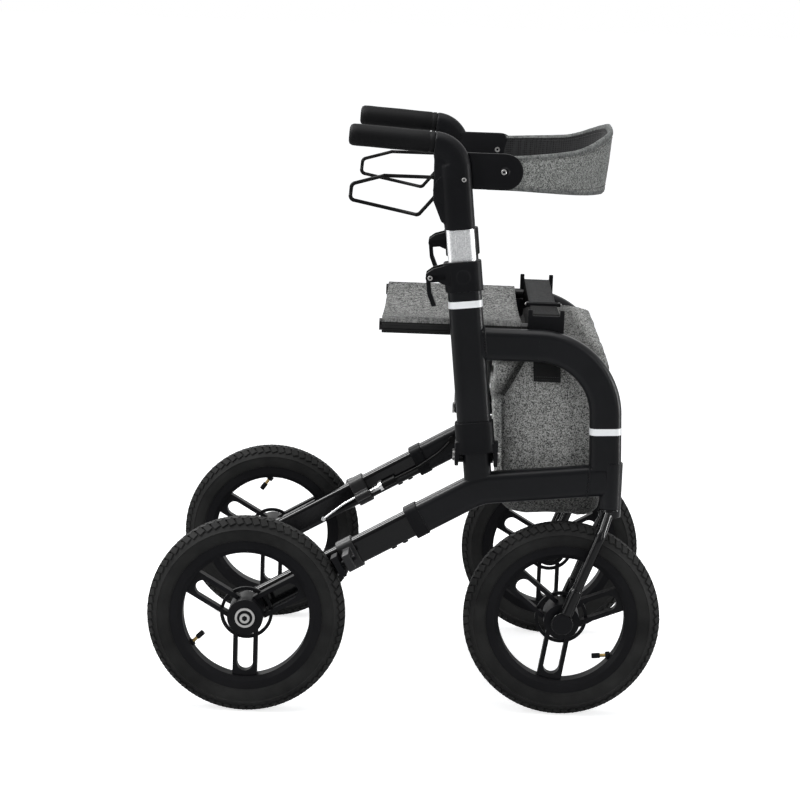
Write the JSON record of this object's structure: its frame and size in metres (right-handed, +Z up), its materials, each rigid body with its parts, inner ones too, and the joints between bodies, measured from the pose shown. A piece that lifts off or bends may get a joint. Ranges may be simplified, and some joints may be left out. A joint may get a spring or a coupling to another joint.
{
  "type": "all terrain rollator",
  "caption": "Folding walking frame on large pneumatic wheels, with swivelling front wheels, sliding hand grips, loop brakes, sling seat, backrest band and front bag.",
  "frame": {"origin": "on the ground, at the centre of the bounding box's bottom", "axes": "+X forward, +Y to the user's left, +Z up"},
  "size_m": [0.778, 0.628, 0.8901],
  "materials": {
    "frame_paint": "satin black powder coat",
    "black_plastic": "fine moulded texture",
    "grey_plastic": "moulded",
    "steel": "plain",
    "cable_sheath": "smooth sheath",
    "silver_tube": "anodised",
    "grip_rubber": "soft ribbed",
    "black_wire": "coated wire",
    "tyre_rubber": "moulded tread",
    "rim_plastic": "satin moulded",
    "grey_fabric": "melange weave",
    "webbing": "woven webbing"
  },
  "bodies": {
    "right_frame": {"right_side_frame": "frame_paint", "right_leg_tube": "frame_paint", "right_leg_collar": "black_plastic", "right_brace_bracket": "black_plastic", "right_pivot_pin": "steel", "right_brake_housing": "grey_plastic", "right_brake_cable": "cable_sheath", "right_height_clamp": "black_plastic", "rear_right_axle": "steel", "right_strap_hook": "black_plastic", "bag": "grey_fabric", "bag_strap": "webbing"},
    "left_frame": {"left_side_frame": "frame_paint", "left_leg_tube": "frame_paint", "left_leg_collar": "black_plastic", "left_brace_bracket": "black_plastic", "left_pivot_pin": "steel", "left_brake_housing": "grey_plastic", "left_brake_cable": "cable_sheath", "left_height_clamp": "black_plastic", "rear_left_axle": "steel", "left_strap_hook": "black_plastic"},
    "rear_brace": {"rear_cross_brace": "frame_paint", "left_seat_rail": "frame_paint", "cross_pivot": "steel", "seat_sling": "grey_fabric"},
    "front_brace": {"front_cross_brace": "frame_paint", "right_seat_rail": "frame_paint"},
    "right_handle": {"right_handle_tube": "silver_tube", "right_handle_housing": "black_plastic", "right_grip": "grip_rubber", "right_backrest_bracket": "black_plastic", "backrest_band": "grey_fabric"},
    "left_handle": {"left_handle_tube": "silver_tube", "left_handle_housing": "black_plastic", "left_grip": "grip_rubber", "left_backrest_bracket": "black_plastic"},
    "right_clamp_lever": {"right_clamp_lever": "black_plastic"},
    "right_brake_lever": {"right_brake_lever": "black_wire"},
    "right_brake_shoe": {"right_brake_shoe": "black_plastic"},
    "right_caster": {"right_caster_fork": "frame_paint", "front_right_axle": "steel"},
    "left_clamp_lever": {"left_clamp_lever": "black_plastic"},
    "left_brake_lever": {"left_brake_lever": "black_wire"},
    "left_brake_shoe": {"left_brake_shoe": "black_plastic"},
    "left_caster": {"left_caster_fork": "frame_paint", "front_left_axle": "steel"},
    "rear_right_wheel": {"rear_right_tyre": "tyre_rubber", "rear_right_rim": "rim_plastic", "rear_right_bearings": "steel"},
    "rear_left_wheel": {"rear_left_tyre": "tyre_rubber", "rear_left_rim": "rim_plastic", "rear_left_bearings": "steel"},
    "front_right_wheel": {"front_right_tyre": "tyre_rubber", "front_right_rim": "rim_plastic", "front_right_bearings": "steel"},
    "front_left_wheel": {"front_left_tyre": "tyre_rubber", "front_left_rim": "rim_plastic", "front_left_bearings": "steel"}
  },
  "joints": [
    {"name": "fold", "type": "hinge", "parent": "right_frame", "child": "rear_brace", "pos_m": [0.09964, -0.205, 0.391], "axis": [1, 0, 0], "range_deg": [0, 52], "deforming": ["seat_sling", "bag", "bag_strap", "backrest_band"]},
    {"name": "fold_cross", "type": "hinge", "parent": "rear_brace", "child": "front_brace", "pos_m": [0.09964, 0, 0.4895], "axis": [1, 0, 0], "range_deg": [-104, 0]},
    {"name": "fold_left", "type": "hinge", "parent": "front_brace", "child": "left_frame", "pos_m": [0.09964, 0.205, 0.391], "axis": [1, 0, 0], "range_deg": [0, 52]},
    {"name": "right_height", "type": "slide", "parent": "right_frame", "child": "right_handle", "axis": [-0.1097, 0, 0.994], "range_m": [-0.04, 0.08]},
    {"name": "right_clamp", "type": "hinge", "parent": "right_frame", "child": "right_clamp_lever", "pos_m": [0.02044, -0.236, 0.66634], "axis": [0, 1, 0], "range_deg": [0, 95]},
    {"name": "right_brake", "type": "hinge", "parent": "right_handle", "child": "right_brake_lever", "pos_m": [0.02909, -0.236, 0.796], "axis": [0, 1, 0], "range_deg": [0, 14], "stiffness_Nm_per_rad": 2},
    {"name": "right_brake_press", "type": "slide", "parent": "right_frame", "child": "right_brake_shoe", "axis": [-0.8681, 0, -0.4964], "range_m": [0, 0.004]},
    {"name": "right_swivel", "type": "hinge", "parent": "right_frame", "child": "right_caster", "pos_m": [0.305, -0.236, 0.33], "axis": [0, 0, 1], "continuous": true},
    {"name": "front_right_spin", "type": "hinge", "parent": "right_caster", "child": "front_right_wheel", "pos_m": [0.239, -0.236, 0.15], "axis": [0, 1, 0], "continuous": true},
    {"name": "rear_right_spin", "type": "hinge", "parent": "right_frame", "child": "rear_right_wheel", "pos_m": [-0.239, -0.2797, 0.15], "axis": [0, 1, 0], "continuous": true},
    {"name": "left_height", "type": "slide", "parent": "left_frame", "child": "left_handle", "axis": [-0.1097, 0, 0.994], "range_m": [-0.04, 0.08]},
    {"name": "left_clamp", "type": "hinge", "parent": "left_frame", "child": "left_clamp_lever", "pos_m": [0.02044, 0.236, 0.66634], "axis": [0, 1, 0], "range_deg": [0, 95]},
    {"name": "left_brake", "type": "hinge", "parent": "left_handle", "child": "left_brake_lever", "pos_m": [0.02909, 0.236, 0.796], "axis": [0, 1, 0], "range_deg": [0, 14], "stiffness_Nm_per_rad": 2},
    {"name": "left_brake_press", "type": "slide", "parent": "left_frame", "child": "left_brake_shoe", "axis": [-0.8681, 0, -0.4964], "range_m": [0, 0.004]},
    {"name": "left_swivel", "type": "hinge", "parent": "left_frame", "child": "left_caster", "pos_m": [0.305, 0.236, 0.33], "axis": [0, 0, 1], "continuous": true},
    {"name": "front_left_spin", "type": "hinge", "parent": "left_caster", "child": "front_left_wheel", "pos_m": [0.239, 0.236, 0.15], "axis": [0, 1, 0], "continuous": true},
    {"name": "rear_left_spin", "type": "hinge", "parent": "left_frame", "child": "rear_left_wheel", "pos_m": [-0.239, 0.2797, 0.15], "axis": [0, 1, 0], "continuous": true}
  ],
  "couplings": [
    {"joint": "fold_cross", "follows": "fold", "ratio": -2},
    {"joint": "fold_left", "follows": "fold", "ratio": 1},
    {"joint": "right_brake_press", "follows": "right_brake", "m_per_rad": 0.01637},
    {"joint": "left_brake_press", "follows": "left_brake", "m_per_rad": 0.01637},
    {"joint": "left_height", "follows": "right_height", "ratio": 1}
  ]
}
